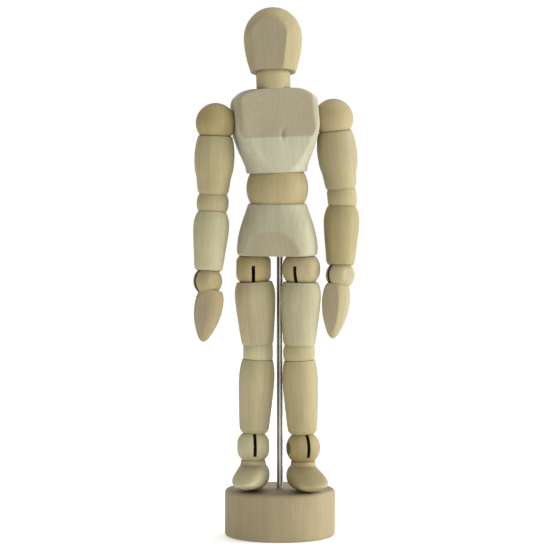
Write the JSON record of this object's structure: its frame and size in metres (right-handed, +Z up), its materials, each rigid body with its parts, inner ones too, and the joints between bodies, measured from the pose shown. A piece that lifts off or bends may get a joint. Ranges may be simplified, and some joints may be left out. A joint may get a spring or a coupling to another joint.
{
  "type": "artist mannequin",
  "caption": "Jointed wooden artist mannequin: turned limbs on ball joints held by inner springs, on a steel rod and a round base.",
  "frame": {"origin": "centre of the base's flat underside", "axes": "+Z up along the support rod; the figure faces -Y, turned 11 degrees to its right; its right side is at -X"},
  "size_m": [0.0938, 0.0714, 0.3004],
  "materials": {
    "figure_wood": "sanded pale close-grained hardwood, unvarnished",
    "base_wood": "sanded pale hardwood with upright grain",
    "rod_steel": "drawn steel rod",
    "spring_steel": "drawn spring wire",
    "pin_steel": "cut wire pin"
  },
  "bodies": {
    "stand": {"base": "base_wood", "support_rod": "rod_steel"},
    "pelvis": {"pelvis": "figure_wood", "pelvis_pin": "pin_steel", "pelvis_spring": "spring_steel", "right_hip_spring": "spring_steel", "left_hip_spring": "spring_steel"},
    "waist": {"waist": "figure_wood", "waist_pin": "pin_steel"},
    "chest": {"chest": "figure_wood", "chest_spring": "spring_steel", "shoulder_spring": "spring_steel"},
    "neck": {"neck": "figure_wood", "neck_pin": "pin_steel"},
    "head": {"head": "figure_wood", "head_spring": "spring_steel"},
    "right_shoulder": {"right_shoulder_ball": "figure_wood", "right_shoulder_pin": "pin_steel"},
    "right_upper_arm": {"right_upper_arm": "figure_wood", "right_upper_arm_spring": "spring_steel"},
    "right_elbow": {"right_elbow_ball": "figure_wood", "right_elbow_pin": "pin_steel"},
    "right_forearm": {"right_forearm": "figure_wood", "right_forearm_spring": "spring_steel"},
    "right_wrist": {"right_wrist_ball": "figure_wood", "right_wrist_pin": "pin_steel"},
    "right_hand": {"right_hand": "figure_wood"},
    "right_hip": {"right_hip_ball": "figure_wood", "right_hip_pin": "pin_steel"},
    "right_thigh": {"right_thigh": "figure_wood", "right_thigh_spring": "spring_steel"},
    "right_knee": {"right_knee_ball": "figure_wood", "right_knee_pin": "pin_steel"},
    "right_shin": {"right_shin": "figure_wood", "right_shin_spring": "spring_steel"},
    "right_ankle": {"right_ankle_ball": "figure_wood", "right_ankle_pin": "pin_steel"},
    "right_foot": {"right_foot": "figure_wood"},
    "left_shoulder": {"left_shoulder_ball": "figure_wood", "left_shoulder_pin": "pin_steel"},
    "left_upper_arm": {"left_upper_arm": "figure_wood", "left_upper_arm_spring": "spring_steel"},
    "left_elbow": {"left_elbow_ball": "figure_wood", "left_elbow_pin": "pin_steel"},
    "left_forearm": {"left_forearm": "figure_wood", "left_forearm_spring": "spring_steel"},
    "left_wrist": {"left_wrist_ball": "figure_wood", "left_wrist_pin": "pin_steel"},
    "left_hand": {"left_hand": "figure_wood"},
    "left_hip": {"left_hip_ball": "figure_wood", "left_hip_pin": "pin_steel"},
    "left_thigh": {"left_thigh": "figure_wood", "left_thigh_spring": "spring_steel"},
    "left_knee": {"left_knee_ball": "figure_wood", "left_knee_pin": "pin_steel"},
    "left_shin": {"left_shin": "figure_wood", "left_shin_spring": "spring_steel"},
    "left_ankle": {"left_ankle_ball": "figure_wood", "left_ankle_pin": "pin_steel"},
    "left_foot": {"left_foot": "figure_wood"}
  },
  "joints": [
    {"name": "figure_turn", "type": "hinge", "parent": "stand", "child": "pelvis", "pos_m": [0, 0, 0.16014], "axis": [0, 0, 1], "continuous": true},
    {"name": "waist_twist", "type": "hinge", "parent": "pelvis", "child": "waist", "pos_m": [-0.00153, -0.00785, 0.19834], "axis": [0, 0, 1], "range_deg": [-45, 45], "deforming": ["pelvis_spring"]},
    {"name": "chest_bend", "type": "hinge", "parent": "waist", "child": "chest", "pos_m": [-0.00153, -0.00785, 0.19834], "axis": [0.987, 0.1563, 0.0384], "range_deg": [-8, 15]},
    {"name": "neck_turn", "type": "hinge", "parent": "chest", "child": "neck", "pos_m": [-0.00383, -0.00822, 0.259], "axis": [-0.0378, 0.0067, 0.9993], "range_deg": [-60, 60]},
    {"name": "head_nod", "type": "hinge", "parent": "neck", "child": "head", "pos_m": [-0.00383, -0.00822, 0.259], "axis": [0.9841, -0.1735, 0.0384], "range_deg": [-12, 15]},
    {"name": "right_shoulder_swing", "type": "hinge", "parent": "chest", "child": "right_shoulder", "pos_m": [-0.03612, -0.01333, 0.23492], "axis": [-0.987, -0.1563, -0.0384], "range_deg": [-45, 120], "deforming": ["shoulder_spring"]},
    {"name": "right_arm_lift", "type": "hinge", "parent": "right_shoulder", "child": "right_upper_arm", "pos_m": [-0.03612, -0.01333, 0.23492], "axis": [-0.1564, 0.9877, 0], "range_deg": [0, 75]},
    {"name": "right_elbow_bend", "type": "hinge", "parent": "right_upper_arm", "child": "right_elbow", "pos_m": [-0.03791, -0.01362, 0.18996], "axis": [-0.9652, 0.2589, 0.0367], "range_deg": [0, 50]},
    {"name": "right_forearm_twist", "type": "hinge", "parent": "right_elbow", "child": "right_forearm", "pos_m": [-0.03791, -0.01362, 0.18996], "axis": [-0.062, -0.0904, -0.994], "range_deg": [-60, 60], "deforming": ["right_forearm_spring"]},
    {"name": "right_wrist_bend", "type": "hinge", "parent": "right_forearm", "child": "right_wrist", "pos_m": [-0.04064, -0.01759, 0.14622], "axis": [-0.5029, 0.8631, -0.0472], "range_deg": [-10, 35]},
    {"name": "right_hand_twist", "type": "hinge", "parent": "right_wrist", "child": "right_hand", "pos_m": [-0.04064, -0.01759, 0.14622], "axis": [-0.1145, -0.1206, -0.9861], "range_deg": [-60, 60]},
    {"name": "right_hip_swivel", "type": "hinge", "parent": "pelvis", "child": "right_hip", "pos_m": [-0.01498, -0.00524, 0.15274], "axis": [0, 0, -1], "range_deg": [-10, 20]},
    {"name": "right_thigh_lift", "type": "hinge", "parent": "right_hip", "child": "right_thigh", "pos_m": [-0.01498, -0.00524, 0.15274], "axis": [-0.9986, 0, -0.0523], "range_deg": [0, 65]},
    {"name": "right_knee_swivel", "type": "hinge", "parent": "right_thigh", "child": "right_knee", "pos_m": [-0.01249, -0.00524, 0.1054], "axis": [0, 0, 1], "range_deg": [-15, 15]},
    {"name": "right_knee_bend", "type": "hinge", "parent": "right_knee", "child": "right_shin", "pos_m": [-0.01249, -0.00524, 0.1054], "axis": [0.9981, 0.0349, -0.0506], "range_deg": [0, 45]},
    {"name": "right_ankle_bend", "type": "hinge", "parent": "right_shin", "child": "right_ankle", "pos_m": [-0.01523, -0.00524, 0.05147], "axis": [0.9925, 0.1219, 0], "range_deg": [-25, 2]},
    {"name": "right_foot_swivel", "type": "hinge", "parent": "right_ankle", "child": "right_foot", "pos_m": [-0.01523, -0.00524, 0.05147], "axis": [0, 0, -1], "range_deg": [-15, 25]},
    {"name": "left_shoulder_swing", "type": "hinge", "parent": "chest", "child": "left_shoulder", "pos_m": [0.0302, -0.00283, 0.2375], "axis": [-0.987, -0.1563, -0.0384], "range_deg": [-45, 120], "deforming": ["shoulder_spring"]},
    {"name": "left_arm_lift", "type": "hinge", "parent": "left_shoulder", "child": "left_upper_arm", "pos_m": [0.0302, -0.00283, 0.2375], "axis": [0.1564, -0.9877, 0], "range_deg": [0, 75]},
    {"name": "left_elbow_bend", "type": "hinge", "parent": "left_upper_arm", "child": "left_elbow", "pos_m": [0.03515, -0.00204, 0.19278], "axis": [-0.9939, 0.001, -0.1101], "range_deg": [0, 50]},
    {"name": "left_forearm_twist", "type": "hinge", "parent": "left_elbow", "child": "left_forearm", "pos_m": [0.03515, -0.00204, 0.19278], "axis": [0.0246, 0.0863, 0.996], "range_deg": [-60, 60], "deforming": ["left_forearm_spring"]},
    {"name": "left_wrist_bend", "type": "hinge", "parent": "left_forearm", "child": "left_wrist", "pos_m": [0.03407, -0.00584, 0.14896], "axis": [-0.5502, 0.8329, -0.0586], "range_deg": [-35, 5]},
    {"name": "left_hand_twist", "type": "hinge", "parent": "left_wrist", "child": "left_hand", "pos_m": [0.03407, -0.00584, 0.14896], "axis": [0.1117, 0.1429, 0.9834], "range_deg": [-60, 60]},
    {"name": "left_hip_swivel", "type": "hinge", "parent": "pelvis", "child": "left_hip", "pos_m": [0.01192, -0.01047, 0.15274], "axis": [0, 0, 1], "range_deg": [-10, 20]},
    {"name": "left_thigh_lift", "type": "hinge", "parent": "left_hip", "child": "left_thigh", "pos_m": [0.01192, -0.01047, 0.15274], "axis": [-0.9395, 0.342, 0.0213], "range_deg": [0, 65]},
    {"name": "left_knee_swivel", "type": "hinge", "parent": "left_thigh", "child": "left_knee", "pos_m": [0.01085, -0.01047, 0.10535], "axis": [0, 0, -1], "range_deg": [-15, 15]},
    {"name": "left_knee_bend", "type": "hinge", "parent": "left_knee", "child": "left_shin", "pos_m": [0.01085, -0.01047, 0.10535], "axis": [0.9773, -0.2079, 0.041], "range_deg": [0, 45]},
    {"name": "left_ankle_bend", "type": "hinge", "parent": "left_shin", "child": "left_ankle", "pos_m": [0.01311, -0.01047, 0.0514], "axis": [0.9455, 0.3256, 0], "range_deg": [-25, 2]},
    {"name": "left_foot_swivel", "type": "hinge", "parent": "left_ankle", "child": "left_foot", "pos_m": [0.01311, -0.01047, 0.0514], "axis": [0, 0, 1], "range_deg": [-15, 25]}
  ]
}
